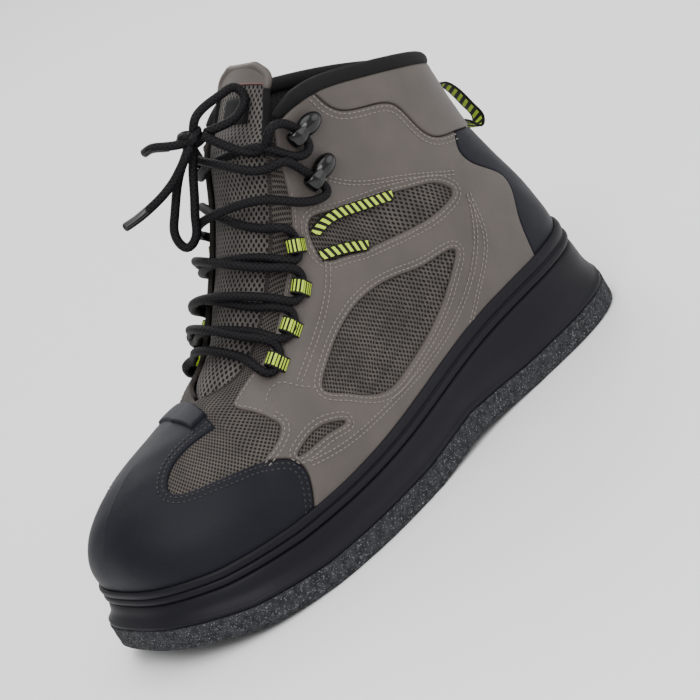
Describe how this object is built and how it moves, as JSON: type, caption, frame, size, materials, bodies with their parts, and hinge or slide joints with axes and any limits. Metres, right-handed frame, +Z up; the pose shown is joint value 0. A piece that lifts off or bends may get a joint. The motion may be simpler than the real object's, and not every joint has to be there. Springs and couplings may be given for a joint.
{
  "type": "wading boot",
  "caption": "Left wading boot with felt sole, rubber rand, laced leather and mesh upper, padded collar and heel pull loop.",
  "frame": {"origin": "on the floor, midway along the sole's length and midway across its breadth", "axes": "+X towards the toe, +Y towards the outer (lateral) side of the left foot, +Z up"},
  "size_m": [0.318, 0.1297, 0.2081],
  "materials": {
    "felt": "dense speckled felt",
    "rubber": "matte moulded",
    "foam": "matte",
    "mesh": "open knit",
    "leather": "satin, fine grain",
    "coated": "rubber coated, satin",
    "knit": "matte knit",
    "webbing": "black with yellow-green bars",
    "cord": "braided",
    "hook": "gloss black",
    "metal": "dull grey"
  },
  "bodies": {
    "root": {"outsole_felt": "felt", "midsole_wall": "rubber", "rand": "rubber", "insole": "foam", "upper": "mesh", "toe_cap": "coated", "heel_counter": "coated", "quarter_lateral": "leather", "quarter_medial": "leather", "cuff": "leather", "collar_binding": "knit", "tongue": "mesh", "tongue_label": "cord", "pull_loop": "webbing", "drain_eyelet_1": "metal", "drain_eyelet_2": "metal", "lace_keeper_lateral_1": "webbing", "lace_keeper_lateral_2": "webbing", "lace_keeper_lateral_3": "webbing", "lace_keeper_lateral_4": "webbing", "lace_hook_lateral_1": "hook", "webbing_lateral_1": "webbing", "lace_hook_lateral_2": "hook", "webbing_lateral_2": "webbing", "lace_keeper_medial_1": "webbing", "lace_keeper_medial_2": "webbing", "lace_keeper_medial_3": "webbing", "lace_keeper_medial_4": "webbing", "lace_hook_medial_1": "hook", "webbing_medial_1": "webbing", "lace_hook_medial_2": "hook", "webbing_medial_2": "webbing", "lace_bars": "cord", "lace_knot": "cord", "bow_loop_1": "cord", "bow_loop_2": "cord", "lace_end_1": "cord", "lace_end_2": "cord"}
  },
  "joints": []
}
